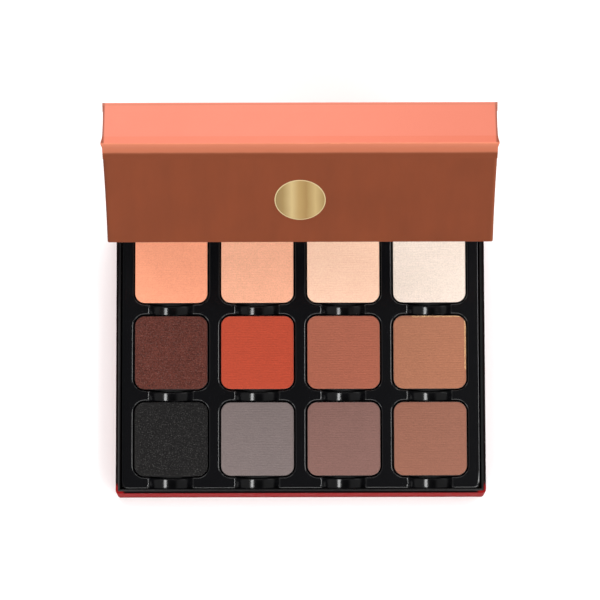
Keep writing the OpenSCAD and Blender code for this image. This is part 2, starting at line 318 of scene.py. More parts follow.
cakes = {
    "colours": [(252, 159, 123), (244, 174, 141), (255, 201, 173), (230, 212, 198),
                (88, 45, 37), (178, 62, 33), (160, 87, 64), (162, 103, 75),
                (24, 23, 23), (115, 102, 100), (124, 88, 80), (140, 89, 70)],  # left to right, from the back; the back row is set lighter, as painted light against the raised flap's shade on it
    "plain": {"sheen": 0.12, "gloss": 0.5, "fleck": 0.13, "tooth": 0.35, "spark": 0.0, "sparkFrom": 0.9},
    "dark": {"sheen": 0.02, "gloss": 0.15, "fleck": 0.55, "tooth": 0.6, "spark": 0.06, "sparkFrom": 0.6},
    "darkOnes": (4, 8), "crumbled": 7, "crumbs": 0.8, "grit": (255, 214, 150), "glint": (205, 202, 196),
    "wornFrom": 4, "worn": 0.12,
}


def powderFinish(i, look):
    tint = tone(*cakes["colours"][i])

    def fill(coords):
        grain = noise(coords, 0.4, 3, 0.8)
        cloud = noise(coords, 3.2, 3)
        band = noise(stretched(coords, 0.3, 1, 1), 0.4, 3, 0.7)
        fleck = grain * 0.7 + cloud * 0.1 + band * 0.2
        body = tinted(fleck, tint, 1 - look["fleck"], 1 + look["fleck"], 0.38, 0.62)
        spark = ((noise(coords, 0.3, 1, 0.9) - look["sparkFrom"]) * 14).clamped()
        if i == cakes["crumbled"]:  # broken bright grains along the back and right edges
            across, back = split(coords)[:2]
            px, py = panPlace(i)
            dx, dy = across / mm - px, back / mm - py
            edge = (abs(dx) - cake["Width"] / 2).atLeast(abs(dy) - cake["Depth"] / 2)
            grit = ((noise(coords, 0.22, 2, 0.8) - 0.5) * 18).clamped() * (edge > -0.42) * (dx + dy > 5)
            body = mix(grit * cakes["crumbs"], body, tone(*cakes["grit"]))
        return {"Base Color": mix(spark * look["spark"], body, tone(*cakes["glint"])),
                "Roughness": 0.86 - spark * 0.4, "Specular IOR Level": look["gloss"],
                "Sheen Weight": look["sheen"], "Sheen Roughness": 0.5,
                "Normal": bump(grain + band * 0.7, look["tooth"], 0.03)}
    return finish(f"powder{i + 1}", fill)


def metal(name, colour, rough, streak):  # streaks run from side to side
    def fill(coords):
        line = noise(stretched(coords, 0.1, 1, 1), 0.3, 3, 0.6)
        return {"Base Color": tinted(line, tone(*colour), 1 - streak, 1 + streak), "Metallic": 1.0,
                "Roughness": rough + line * 0.1, "Normal": bump(line, 0.15, 0.01)}
    return finish(name, fill)


foilLook = {"width": 13.1, "rim": (202, 181, 136),
            "sheen": [(0.0, (135, 109, 66)), (0.16, (150, 123, 74)), (0.34, (190, 166, 116)),
                      (0.48, (168, 138, 85)), (0.62, (152, 121, 69)), (0.8, (183, 157, 105)),
                      (1.0, (145, 116, 67))]}  # shares of the width, from the left; the bright and dark bands are painted reflections


def foilFill(coords):
    across = split(coords)[0]
    rim = marked(coords, "rim")
    # painted reflections: bright and dark bands across the width
    place = across / (foilLook["width"] * mm) + 0.5 + (noise(coords, 5, 2) - 0.5) * 0.04
    body = ramp(place, [(share, tone(*colour)) for share, colour in foilLook["sheen"]])
    return {"Base Color": mix(rim, body, tone(*foilLook["rim"])), "Metallic": 0.55,
            "Roughness": 0.34 + noise(coords, 0.3, 3) * 0.12,
            "Normal": bump(noise(stretched(coords, 1, 0.1, 0.1), 0.25, 3), 0.12, 0.01)}


def boardFill(coords):
    fleck = noise(coords, 0.5, 4, 0.7)
    return {"Base Color": mix(fleck, tone(132, 124, 112), tone(176, 168, 154)), "Roughness": 0.9,
            "Normal": bump(fleck, 0.5, 0.06)}


def mirrorFill(coords):
    return {"Base Color": mix(noise(coords, 30, 2), tone(226, 230, 232), tone(232, 236, 238)),
            "Metallic": 1.0, "Roughness": 0.03, "Coat Weight": 0.5}


finishes = {
    "red_paper": finish("redPaper", redFill),
    "black_paper": paper("blackPaper", (7, 5, 6), 0.36, 0.12, 0.36),
    "coral_paper": finish("coralPaper", coralFill),
    "tan_paper": finish("tanPaper", creaseFill),
    "brown_paper": finish("brownPaper", brownFill),
    "grey_board": finish("greyBoard", boardFill),
    "insert_plastic": finish("insertPlastic", insertFill),
    "tin": metal("tinPlate", (120, 118, 118), 0.36, 0.06),
    "magnet": metal("nickelMagnet", (150, 152, 156), 0.28, 0.04),
    "pad_foam": paper("padFoam", (20, 20, 21), 0.95, 0.2),
    "foil": finish("goldFoil", foilFill),
    "mirror_glass": finish("mirrorGlass", mirrorFill),
}
print("finishes ready")


# Meshes are made in millimetres, and build turns them into metres.
def build(name, points, faces, materials, sharp=38, closed=True):
    mesh = bpy.data.meshes.new(name)
    mesh.from_pydata([tuple(c * mm for c in p) for p in points], [], faces)
    if closed:
        tidyMesh(mesh, 1e-7)
    for material in materials:
        mesh.materials.append(material)
    mesh.shade_smooth()
    mesh.set_sharp_from_angle(angle=math.radians(sharp))
    thing = bpy.data.objects.new(name, mesh)
    bpy.context.collection.objects.link(thing)
    return thing


def tidyMesh(mesh, near, topUp=False):  # merges points closer than near (metres) and turns faces outwards
    work = bmesh.new()
    work.from_mesh(mesh)
    bmesh.ops.remove_doubles(work, verts=work.verts, dist=near)
    bmesh.ops.recalc_face_normals(work, faces=work.faces)
    if topUp:  # an open sheet has no outside, so its highest face says which way is up
        top = max(work.faces, key=lambda face: face.calc_center_median().z)
        if top.normal.z < 0:
            bmesh.ops.reverse_faces(work, faces=work.faces)
    work.to_mesh(mesh)
    work.free()


def markPoints(thing, name, values):  # a value at each point, for a finish to read
    mark = thing.data.attributes.new(name, "FLOAT", "POINT")
    for i, value in enumerate(values):
        mark.data[i].value = value


leastRadius = 0.06  # what is left of a round corner far inside its edge


# A round-cornered ring, anticlockwise: arc steps for each corner, runs steps along and down its sides.
def outline(width, depth, radius, arc, runs, middle=(0, 0)):
    corners = [(1, 1), (-1, 1), (-1, -1), (1, -1)]

    def onArc(corner, turn):
        angle = math.radians(turn)
        return (middle[0] + corner[0] * (width / 2 - radius) + radius * math.cos(angle),
                middle[1] + corner[1] * (depth / 2 - radius) + radius * math.sin(angle))
    ring = []
    for k, corner in enumerate(corners):
        ring += [onArc(corner, 90 * k + 90 * i / arc) for i in range(arc + 1)]
        here, end, run = ring[-1], onArc(corners[(k + 1) % 4], 90 * k + 90), runs[k % 2]
        ring += [(here[0] + (end[0] - here[0]) * i / run, here[1] + (end[1] - here[1]) * i / run)
                 for i in range(1, run)]
    return ring


def loft(rings, loop=False):  # skins a stack of rings; a loop joins the last ring to the first
    count, total = len(rings[0]), len(rings)
    faces = []
    for i in range(total if loop else total - 1):
        low, high = i * count, (i + 1) % total * count
        for j in range(count):
            after = (j + 1) % count
            faces.append((low + j, low + after, high + after, high + j))
    if not loop:
        faces += [tuple(reversed(range(count))), tuple(range((total - 1) * count, total * count))]
    return [p for ring in rings for p in ring], faces


class Place:  # a panel's fold axis in the side view, and how far the panel has turned about it
    def __init__(self, y, z, turn):
        self.y, self.z, self.turn = y, z, math.radians(turn)

    def at(self, x, along, rise):
        c, s = math.cos(self.turn), math.sin(self.turn)
        return (x, self.y - along * c - rise * s, self.z - along * s + rise * c)

    def side(self, along, rise):
        return self.at(0, along, rise)[1:]

    def next(self, along, rise, turn):  # the place of the panel that folds on there
        y, z = self.side(along, rise)
        return Place(y, z, math.degrees(self.turn) + turn)


def rounding(low, high, edge):  # (inset, height) up the side of a slab with soft edges
    steps = 4
    turn = [math.radians(90 * i / steps) for i in range(steps + 1)]
    rise = [(edge * (1 - math.sin(a)), low + edge * (1 - math.cos(a))) for a in turn]
    drop = [(edge * (1 - math.cos(a)), high - edge * (1 - math.sin(a))) for a in turn]
    inner = edge * 2.4  # a ring on each flat face, so its shading stays flat
    return [(inner, low)] + rise + drop + [(inner, high)]


# A slab lies on a panel's place: span is how far it reaches from the fold, rise its two faces' heights.
def slab(name, place, width, span, rise, material, edge=0.25, corner=0.7, waist=0.0, mitre=(0, 0),
         runs=(24, 10)):
    (start, end), (low, high) = span, rise

    def drawn(x, y):  # the sides pulled in a little at mid-length
        share = (-y - start) / (end - start)
        return x - math.copysign(waist * 4 * share * (1 - share) * (abs(x) / (width / 2)) ** 8, x)
    rings = []
    for inset, height in rounding(low, high, edge):
        first, last = start + mitre[0] * (high - height), end - mitre[1] * (high - height)
        flat = outline(width - 2 * inset, last - first - 2 * inset, max(corner - inset, leastRadius),
                       arc=5, runs=runs, middle=(0, -(first + last) / 2))
        rings.append([place.at(drawn(x, y), -y, height) for x, y in flat])
    points, faces = loft(rings)
    return build(name, points, faces, [material])


def foldStrip(name, path, thickness, reach, materials):  # a paper strip along a side-view path
    columns, rows = 40, len(path)
    lengths = [0.0]
    for a, b in zip(path, path[1:]):
        lengths.append(lengths[-1] + math.dist(a, b))
    inner = []
    for i, (y, z) in enumerate(path):
        a, b = path[max(i - 1, 0)], path[min(i + 1, rows - 1)]
        d = math.dist(a, b)
        inner.append((y - (b[1] - a[1]) / d * thickness, z + (b[0] - a[0]) / d * thickness))
    points, along = [], []
    for line in (path, inner):
        for (y, z), run in zip(line, lengths):
            points += [((2 * j / columns - 1) * reach(run), y, z) for j in range(columns + 1)]
            along += [run] * (columns + 1)

    def at(layer, i, j):
        return (layer * rows + i) * (columns + 1) + j
    cells = [(i, j) for i in range(rows - 1) for j in range(columns)]
    faces = [(at(0, i, j), at(0, i, j + 1), at(0, i + 1, j + 1), at(0, i + 1, j)) for i, j in cells]
    under = [(at(1, i, j), at(1, i + 1, j), at(1, i + 1, j + 1), at(1, i, j + 1)) for i, j in cells]
    ends = [(at(0, i, j), at(1, i, j), at(1, i, j + 1), at(0, i, j + 1))
            for i in (0, rows - 1) for j in range(columns)]
    sides = [(at(0, i, j), at(0, i + 1, j), at(1, i + 1, j), at(1, i, j))
             for i in range(rows - 1) for j in (0, columns)]
    thing = build(name, points, faces + under + ends + sides, materials, 50)
    for face in thing.data.polygons[len(faces):len(faces) + len(under)]:
        face.material_index = len(materials) - 1
    markPoints(thing, "along", along)
    return thing


def arcAbout(centre, radius, first, last):  # an arc in the side view, its angles in degrees
    steps = 8
    turns = [math.radians(first + (last - first) * i / steps) for i in range(steps + 1)]
    return [(centre.y + radius * math.cos(a), centre.z + radius * math.sin(a)) for a in turns]


base = {"corner": 0.9, "paper": 0.2, "lap": 0.6, "wall": 1.2, "floorTop": 1.7, "lining": 0.18, "lift": 0.03,
        "bands": (3, 8), "liningBand": 6,
        "brim": [(0, 0.75), (0, 0.6), (0, 0.35), (0.03, 0.2), (0.1, 0.08), (0.2, 0.01), (0.32, 0)],
        "darkFront": 0.1, "darkSides": 0.72, "darkFade": 0.1}  # brim: inset and drop below the top


def boxRings(profile):
    rings = []
    for inset, z in profile:
        width, depth = palette["width"] - 2 * inset, palette["depth"] - 2 * inset
        ring = outline(width, depth, max(base["corner"] - inset, leastRadius), arc=6, runs=(30, 24))
        rings.append([(x, y, z) for x, y in ring])
    return rings


def makeWrap():  # the red paper, up the walls and over the rim
    skin, top, lap = base["paper"], palette["height"], base["lap"]
    outside = [(0, z) for z in (skin, *base["bands"])] + [(inset, top - drop) for inset, drop in base["brim"]]
    inside = [(lap, top), (lap, top - skin + base["lift"]), (skin, top - skin + base["lift"]),
              (skin - 0.01, top - skin), (skin - 0.01, skin)]
    points, faces = loft(boxRings(outside + inside), loop=True)
    wrap = build("baseWrap", points, faces, [finishes["red_paper"]])
    # partly painted shade: the rim and the top edge of the walls go near-black, further down the sides than
    # at the front
    dark = []
    for vertex in wrap.data.vertices:
        front = vertex.co.y / mm < 0.05 - palette["depth"] / 2  # on the front face
        start = top - (base["darkFront"] if front else base["darkSides"])
        dark.append(min(max((vertex.co.z / mm - start) / base["darkFade"], 0), 1))
    markPoints(wrap, "rim", dark)
    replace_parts(wrap, "base_wrap")
    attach(wrap, "base")


def makeLining():  # the black paper, from the lap on the rim down to the floor
    top, lap, face, floor = palette["height"], base["lap"], base["wall"], base["floorTop"]
    under, back = top - base["paper"], face - base["lining"]
    profile = [(lap, under + base["lift"]), (lap, top - 0.01), (lap + 0.05, top - 0.01),
               (lap + 0.12, top - 0.035), (face - 0.1, top - 0.19), (face - 0.03, top - 0.25),
               (face, top - 0.4), (face, base["liningBand"]), (face, floor), (back, floor),
               (back, under + 0.01)]
    points, faces = loft(boxRings(profile), loop=True)
    lining = build("baseLining", points, faces, [finishes["black_paper"]])
    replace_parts(lining, "base_lining")
    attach(lining, "base")


makeWrap()
makeLining()
print("base ready")


# The insert is one moulded sheet with wells, thumb valleys and soft lips.
insert = {"width": 96.9, "depth": 73.9, "corner": 1.9, "top": 11.0, "sheet": 0.4, "forward": 0.3,
          "wellWidth": 20.5, "wellDepth": 20.8, "wellCorner": 3.1, "wellFloor": 6.8,
          "columnPitch": 23.4, "rowPitch": 23.6, "valleyRadius": 6.81, "valleyAxis": 14.31, "crossing": 0.3,
          "lip": 0.4, "edgeLip": 0.22, "frontLip": 0.62, "frontSlope": 0.33, "frontEdge": 0.12, "ease": 0.15,
          "frontZone": 3, "frontFade": 2.5,
          "wellRings": (0, 0.03, 0.09, 0.17, 0.27, 0.4, 0.62), "valleyRows": (1.0, 1.45, 1.9),
          "rimRings": (0, 0.05, 0.14, 0.26, 0.42, 0.62, 0.85, 1.1), "valleyStep": 0.21, "valleySteps": 32}
columns, rows = 4, 3
pans = range(columns * rows)


def panPlace(i):  # columns run left to right, rows back to front
    return ((i % columns - (columns - 1) / 2) * insert["columnPitch"],
            ((rows - 1) / 2 - i // columns) * insert["rowPitch"])


def boxGap(x, y, width, depth, radius):  # distance outside a round-cornered rectangle, below 0 inside it
    px, py = abs(x) - width / 2 + radius, abs(y) - depth / 2 + radius
    return math.hypot(max(px, 0), max(py, 0)) + min(max(px, py), 0) - radius


def wellGap(x, y):  # distance outside the nearest well, below 0 in it
    return min(boxGap(x - px, y - py, insert["wellWidth"], insert["wellDepth"], insert["wellCorner"])
               for px, py in map(panPlace, pans))


def rimGap(x, y):  # distance outside the insert, below 0 on it
    forward = insert["forward"]
    return boxGap(x, y + forward / 2, insert["width"], insert["depth"] + forward, insert["corner"])


def sag(gap, radius):  # how far a round lip has dropped at this distance from its edge
    return 0 if gap >= radius else radius - math.sqrt(max(radius ** 2 - (radius - max(gap, 0)) ** 2, 0))


def softLow(a, b, k):  # the lower of two heights, with a round crossing
    h = max(k - abs(a - b), 0) / k
    return min(a, b) - h * h * k / 4


def valleyHeight(x):  # the round bottom of the thumb valley in this column, far above the land outside it
    radius = insert["valleyRadius"]
    dx = min((x - panPlace(i)[0] for i in range(columns)), key=abs)
    inside = abs(dx) < radius - 0.1
    return insert["valleyAxis"] - math.sqrt(max(radius ** 2 - dx ** 2, 0.01)) if inside else 99


def insertHeight(x, y):
    land, ease = insert["top"], insert["ease"]
    if y <= panPlace(0)[1]:  # no valley behind the back row
        land = softLow(land, valleyHeight(x), insert["crossing"])
    rim = -rimGap(x, y)
    reach = -y - insert["depth"] / 2 + insert["frontZone"]
    front = min(max(reach / insert["frontFade"], 0), 1)  # the front lip is a soft chamfer, the rest are round
    slope = max(insert["frontLip"] - rim, 0)
    fall = slope ** 2 / (2 * ease) if slope < ease else slope - ease / 2
    chamfer = insert["frontSlope"] * fall + sag(rim, insert["frontEdge"])
    side = sag(rim, insert["edgeLip"])
    return land - sag(wellGap(x, y), insert["lip"]) - chamfer * front - side * (1 - front)


def wellShape(i, grow):
    width, depth = insert["wellWidth"] + 2 * grow, insert["wellDepth"] + 2 * grow
    return outline(width, depth, insert["wellCorner"] + grow, arc=8, runs=(44, 8), middle=panPlace(i))


def rimShape(inset):
    forward = insert["forward"]
    return outline(insert["width"] - 2 * inset, insert["depth"] + forward - 2 * inset,
                   insert["corner"] - inset, arc=8, runs=(226, 20), middle=(0, -forward / 2))


def makeInsert():
    flat, edges = [], []

    def addRing(ring):
        first = len(flat)
        flat.extend(Vector(p) for p in ring)
        edges.extend((first + i, first + (i + 1) % len(ring)) for i in range(len(ring)))
        return list(range(first, first + len(ring)))
    wells = [[addRing(wellShape(i, grow)) for grow in insert["wellRings"]][0] for i in pans]
    rim = [addRing(rimShape(inset)) for inset in insert["rimRings"]][0]
    steps = insert["valleySteps"]
    for px, py in map(panPlace, pans):  # rows of points over each valley, between the lips
        front = py - insert["wellDepth"] / 2
        flat.extend(Vector((px + j * insert["valleyStep"], front - step))
                    for step in insert["valleyRows"] for j in range(-steps, steps + 1))
    net = delaunay_2d_cdt(flat, edges, [], 0, 1e-6)
    verts, triangles, origin = net[0], net[2], net[3]
    home = {old: new for new, olds in enumerate(origin) for old in olds}
    points = [(v.x, v.y, insertHeight(v.x, v.y)) for v in verts]
    faces = []
    for triangle in triangles:
        x, y = (sum(verts[k][axis] for k in triangle) / 3 for axis in (0, 1))
        if wellGap(x, y) >= -0.004 and rimGap(x, y) < 0:  # keeps what lies off the wells and on the insert
            faces.append(tuple(triangle))

    def skirt(loop, inward, levels, shape):  # drops a wall from a loop of the sheet, ring by ring
        last = loop
        for inset, z, share in levels:  # a share drops each point that far from its own height to z
            ring = []
            for k, (x, y) in zip(loop, shape(inset)):
                top = points[k][2]
                ring.append(len(points))
                points.append((x, y, z if share is None else top + (z - top) * share))
            for i in range(len(loop)):
                j = (i + 1) % len(loop)
                quad = (last[i], ring[i], ring[j], last[j])
                faces.append((quad[3], quad[2], quad[1], quad[0]) if inward else quad)
            last = ring
        return last
    z = insert["wellFloor"]  # each well's wall goes straight down, and turns in at its foot
    levels = [(0, z + 0.2, 0.5), (0, z + 0.2, 1.0), (0.06, z + 0.06, None), (0.2, z, None), (1.2, z, None)]
    for i, ring in enumerate(wells):
        floor = skirt([home[k] for k in ring], True, levels, lambda inset, i=i: wellShape(i, -inset))
        faces.append(tuple(floor))
    skirt([home[k] for k in rim], False, [(0, 6, None), (0, base["floorTop"], None)], rimShape)
    tray = build("insertTray", points, faces, [finishes["insert_plastic"]], 60, closed=False)
    tidyMesh(tray.data, 1e-8, topUp=True)
    sheet = tray.modifiers.new("sheet", "SOLIDIFY")
    sheet.thickness, sheet.offset = insert["sheet"] * mm, -1
    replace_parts(tray, "insert_tray")
    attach(tray, "base")


makeInsert()
print("insert ready")


# The pressed powder is one geometry tree for all the cakes, and these are its inputs.
cake = {"Width": 19.64, "Depth": 19.94, "Corner": 2.67, "Inset": 0.22, "Floor": 7.05, "Shelf": 10.6,
        "Top": 10.86, "Rib pitch": 0.64, "Rib height": 0.024, "Rib wave": 0.4, "Crumble": 0.0,
        "Place X": 0.0, "Place Y": 0.0, "Seed": 0.0}


def cakeTree():
    tree = bpy.data.node_groups.new("pressedCake", "GeometryNodeTree")
    for name in cake:
        tree.interface.new_socket(name=name, in_out="INPUT", socket_type="NodeSocketFloat")
    tree.interface.new_socket(name="Finish", in_out="INPUT", socket_type="NodeSocketMaterial")
    tree.interface.new_socket(name="Geometry", in_out="OUTPUT", socket_type="NodeSocketGeometry")
    entry = tree.nodes.new("NodeGroupInput")
    size = {name: Wire(tree, entry.outputs[name]) for name in (*cake, "Finish")}
    cuts = {"Size": (1, 1, 1), "Vertices X": 33, "Vertices Y": 187, "Vertices Z": 4}
    cube = addNode(tree, "GeometryNodeMeshCube", {}, cuts, "Mesh")
    u0, v0, k = split(addNode(tree, "GeometryNodeInputPosition"))
    u, v = (u0 * math.pi).sine(), v0 * 2
    shrink = (k < 0) * size["Inset"]
    hx, hy, r = size["Width"] / 2 - shrink, size["Depth"] / 2 - shrink, size["Corner"] - shrink
    y = v * hy
    past = (abs(y) - (hy - r)).atLeast(0)
    half = hx - r + (r * r - past * past).atLeast(0).root()  # half the width at this y, with round corners
    x = u * half
    spot = addNode(tree, "ShaderNodeCombineXYZ", {}, {"X": x * mm, "Y": y * mm, "Z": size["Seed"]})
    slow, fine, chip = noise(spot, 4.5, 3), noise(spot, 1.6, 3), noise(spot, 0.5, 3, 0.7)
    gap = (half - abs(x)).atMost(hy - abs(y))
    # The edge rolls over, wider where it crumbles, and the ribs fade out on it.
    soft = 0.22 + size["Crumble"] * (chip - 0.35).atLeast(0) * 4
    roll = (1 - gap / soft).clamped()
    phase = (y + size["Rib wave"] * (slow * 2 - 1)) * (2 * math.pi) / size["Rib pitch"]
    ribs = phase.sine() * size["Rib height"] * (fine * 1.8 - 0.1)
    broken = size["Crumble"] * (1 - gap / 0.9).clamped() * chip * 0.16
    top = size["Top"] - roll * roll * 0.16 + ribs * (1 - roll) - broken
    isTop, isFloor = k > 0.3, k < -0.3
    z = isTop * top + isFloor * size["Floor"] + (1 - isTop - isFloor) * size["Shelf"]
    place = {"X": (x + size["Place X"]) * mm, "Y": (y + size["Place Y"]) * mm, "Z": z * mm}
    put = addNode(tree, "ShaderNodeCombineXYZ", {}, place)
    moved = addNode(tree, "GeometryNodeSetPosition", {}, {"Geometry": cube, "Position": put})
    smooth = addNode(tree, "GeometryNodeSetShadeSmooth", {}, {"Geometry": moved})
    real = addNode(tree, "GeometryNodeRealizeInstances", {}, {"Geometry": smooth})
    painted = addNode(tree, "GeometryNodeSetMaterial", {}, {"Geometry": real, "Material": size["Finish"]})
    addNode(tree, "NodeGroupOutput", {}, {"Geometry": painted})
    return tree


def makeCakes():
    tree = cakeTree()
    keys = {item.name: item.identifier for item in tree.interface.items_tree if item.in_out == "INPUT"}
    for i in pans:
        carrier = bpy.data.objects.new("carrier", bpy.data.meshes.new("carrier"))
        bpy.context.collection.objects.link(carrier)
        press = carrier.modifiers.new("press", "NODES")
        press.node_group = tree
        px, py = panPlace(i)
        crumble = 1.0 if i == cakes["crumbled"] else cakes["worn"] if i >= cakes["wornFrom"] else 0.0
        sizes = dict(cake, **{"Place X": px, "Place Y": py, "Seed": 0.37 * (i + 1), "Crumble": crumble})
        for name, value in sizes.items():
            press[keys[name]] = value
        press[keys["Finish"]] = powderFinish(i, cakes["dark" if i in cakes["darkOnes"] else "plain"])
        made = bpy.data.meshes.new_from_object(carrier.evaluated_get(bpy.context.evaluated_depsgraph_get()))
        bpy.data.objects.remove(carrier)
        pressed = bpy.data.objects.new(f"powderCake{i + 1}", made)
        bpy.context.collection.objects.link(pressed)
        made.set_sharp_from_angle(angle=math.radians(50))
        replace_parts(pressed, f"powder_{i + 1}")
        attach(pressed, f"pan_{i + 1}")


makeCakes()
print("powder ready")


# The cover: each panel's lengths run from its own fold, and its angle is the one it turns through there.
cover = {"thick": 1.6, "skin": 0.15, "foldRadius": 0.2, "foldGap": 0.06, "proud": 0.03, "foldPaper": 0.14,
         "inner": 0.02}  # how far a wrap's inside stops short of its panel's
lid = {"turn": 100.0, "length": 78.8, "rise": 1.64, "foldEnd": 0.06, "cornerEnd": 0.05, "waist": 0.15}
liner = {"margin": 1.6, "rise": (-0.03, 0.1), "edge": 0.05, "corner": 1}
mirror = {"width": 91.6, "span": (4.2, 72.8), "rise": (-1.0, -0.2), "edge": 0.2, "corner": 2}
wall = {"turn": 75.0, "length": 12.3, "cornerEnd": 0.1, "stripEnd": 0.45, "ears": 0.12}
flap = {"width": 99.8, "length": 34.0, "stripEnd": 0.02, "edge": 0.2, "corner": 0.5, "waist": 0.1}
# The folds: the points each one passes, as distances before and after it, and its arc in degrees.
spine = {"reach": 49.6, "paper": 0.1, "proud": 0.03, "rises": (0.38, 0.6, 0.9, 1.2, 1.5),
         "after": (0.12, 0.5, 1.0, 1.7, 2.4),  # climb: the way up behind the base, as (y, z)
         "climb": [(38.72, 7.5), (38.76, 9.0), (38.76, 10.4), (38.76, 11.2), (38.76, 11.6), (38.77, 11.95)]}
corner = {"reach": 50.0, "bulge": 0.12, "fade": 0.8, "arc": (-10, 65),
          "before": (3.2, 2.4, 1.6, 0.9, 0.4), "after": (0.4, 0.9, 1.6, 2.1, 2.6)}
strip = {"turn": 82.5, "length": 3.6, "sunk": 0.16, "reach": 49.95, "bulge": 0.36, "bulgeAt": 2.2,
         "bulgeWidth": 1.1, "fadeIn": 0.7, "fadeOut": 0.8, "arc": (65, 147.5), "before": (2.0, 1.3, 0.8, 0.4),
         "sinking": (0.5, 0.9, 1.3, 1.8, 2.3, 2.8, 3.2, 3.6), "after": (4.2, 4.9, 5.6)}
lidPlace = Place(palette["depth"] / 2, palette["height"] + cover["foldRadius"] + cover["foldGap"],
                 -lid["turn"])
wallPlace = lidPlace.next(lid["length"], lid["rise"] - cover["foldRadius"], wall["turn"])
flapPlace = wallPlace.next(wall["length"], 0, strip["turn"])
panelRise = (cover["foldRadius"] - cover["thick"] + cover["inner"], cover["foldRadius"])


def wrapOf(thing):  # leaves a paper skin where the board is
    skin = thing.modifiers.new("paper", "SOLIDIFY")
    skin.thickness, skin.offset, skin.use_even_offset = cover["skin"] * mm, -1, True
    return thing


def makeLid():
    low, width = lid["rise"] - cover["thick"], palette["width"]
    span = (lid["foldEnd"], lid["length"] - lid["cornerEnd"])
    wrap = wrapOf(slab("lidWrap", lidPlace, width, span, (low + cover["inner"], lid["rise"]),
                       finishes["coral_paper"], waist=lid["waist"], mitre=(0, 1), runs=(30, 30)))
    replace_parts(wrap, "lid_wrap")
    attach(wrap, "lid")
    margin = liner["margin"]
    lining = slab("lidLiner", lidPlace, width - 2 * margin, (margin, lid["length"] - 2 * margin),
                  [low + rise for rise in liner["rise"]], finishes["black_paper"],
                  edge=liner["edge"], corner=liner["corner"])
    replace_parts(lining, "lid_liner")
    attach(lining, "lid")
    glass = slab("mirrorGlass", lidPlace, mirror["width"], mirror["span"],
                 [low + rise for rise in mirror["rise"]], finishes["mirror_glass"],
                 edge=mirror["edge"], corner=mirror["corner"])
    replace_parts(glass, "mirror")
    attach(glass, "lid")


def makeWall():
    span = (wall["cornerEnd"], wall["length"] - wall["stripEnd"])
    wrap = wrapOf(slab("wallWrap", wallPlace, palette["width"], span, panelRise, finishes["coral_paper"],
                       waist=wall["ears"], mitre=(1, 0), runs=(30, 16)))
    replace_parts(wrap, "wall_wrap")
    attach(wrap, "front_wall")


def makeFlap():
    span = (strip["length"] + flap["stripEnd"], strip["length"] + flap["length"])
    wrap = wrapOf(slab("flapWrap", flapPlace, flap["width"], span, panelRise, finishes["brown_paper"],
                       edge=flap["edge"], corner=flap["corner"], waist=flap["waist"], runs=(30, 24)))
    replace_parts(wrap, "flap_wrap")
    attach(wrap, "flap")


def easedOff(end, place, fade):  # how proud a fold's paper stands, easing to nothing at its end
    return cover["proud"] * min(1, (end - place) / fade)


def makeSpine():  # the red paper up the back, from the base to the lid
    path = list(spine["climb"])
    path += [lidPlace.side(-spine["proud"], rise) for rise in spine["rises"]]
    path += [lidPlace.side(along, lid["rise"] + spine["proud"]) for along in spine["after"]]
    hinge = foldStrip("spineFold", path, spine["paper"], lambda run: spine["reach"], [finishes["red_paper"]])
    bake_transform(hinge)


def makeCorner():  # the coral paper over the lid's front edge, on to the front wall
    radius, before, after, fade = cover["foldRadius"], corner["before"], corner["after"], corner["fade"]
    path = [lidPlace.side(lid["length"] - back, lid["rise"] + easedOff(before[0], back, fade))
            for back in before]
    path += arcAbout(wallPlace, radius + cover["proud"], *corner["arc"])
    path += [wallPlace.side(along, radius + easedOff(after[-1], along, fade)) for along in after]
    whole = sum(math.dist(a, b) for a, b in zip(path, path[1:]))

    def reach(run):
        return corner["reach"] + corner["bulge"] * math.sin(math.pi * run / whole)
    fold = foldStrip("cornerFold", path, cover["foldPaper"], reach, [finish("coralCorner", cornerFill)])
    [v * mm for v in lidPlace.at(0, lid["length"] - 0.6, lid["rise"])]
    [v * mm for v in wallPlace.at(0, 0.6, cover["foldRadius"])]
    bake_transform(fold)


def makeCrease():  # the printed strip, from the front wall over the fold to the flap
    radius, before, after = cover["foldRadius"], strip["before"], strip["after"]
    lift = radius + cover["proud"]
    path = [wallPlace.side(wall["length"] - back, radius + easedOff(before[0], back, strip["fadeIn"]))
            for back in before]
    path += arcAbout(flapPlace, lift, *strip["arc"])
    for along in strip["sinking"]:
        dip = strip["sunk"] * math.sin(math.pi * min(along / strip["length"], 1)) ** 2
        path.append(flapPlace.side(along, lift - dip))
    path += [flapPlace.side(along, radius + easedOff(after[-1], along, strip["fadeOut"])) for along in after]

    def reach(run):  # the strip bulges a little at its sides, over the fold
        off = (run - strip["bulgeAt"]) / strip["bulgeWidth"]
        return strip["reach"] + strip["bulge"] * math.exp(-off ** 2)
    crease = foldStrip("creaseStrip", path, cover["foldPaper"], reach,
                       [finishes["tan_paper"], finishes["black_paper"]])
    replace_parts(crease, "crease_paper", "crease_lining")
    [v * mm for v in wallPlace.at(0, wall["length"] - 0.7, 0.2)]
    [v * mm for v in flapPlace.at(0, 0.7, 0.2)]
    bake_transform(crease)


for make in (makeLid, makeWall, makeFlap, makeSpine, makeCorner, makeCrease):
    make()
print("cover ready")


# The foil oval is plain, with a fine raised rim: each profile point is a share of its size and a height.
oval = {"width": foilLook["width"], "length": 15.2, "centre": 21.2, "points": 96, "rimFrom": 0.965,
        "profile": [(1.0, -0.01), (1.0, 0.03), (0.996, 0.05), (0.988, 0.06), (0.975, 0.06), (0.966, 0.052),
                    (0.96, 0.044), (0.93, 0.044), (0.6, 0.044), (0.2, 0.044)]}


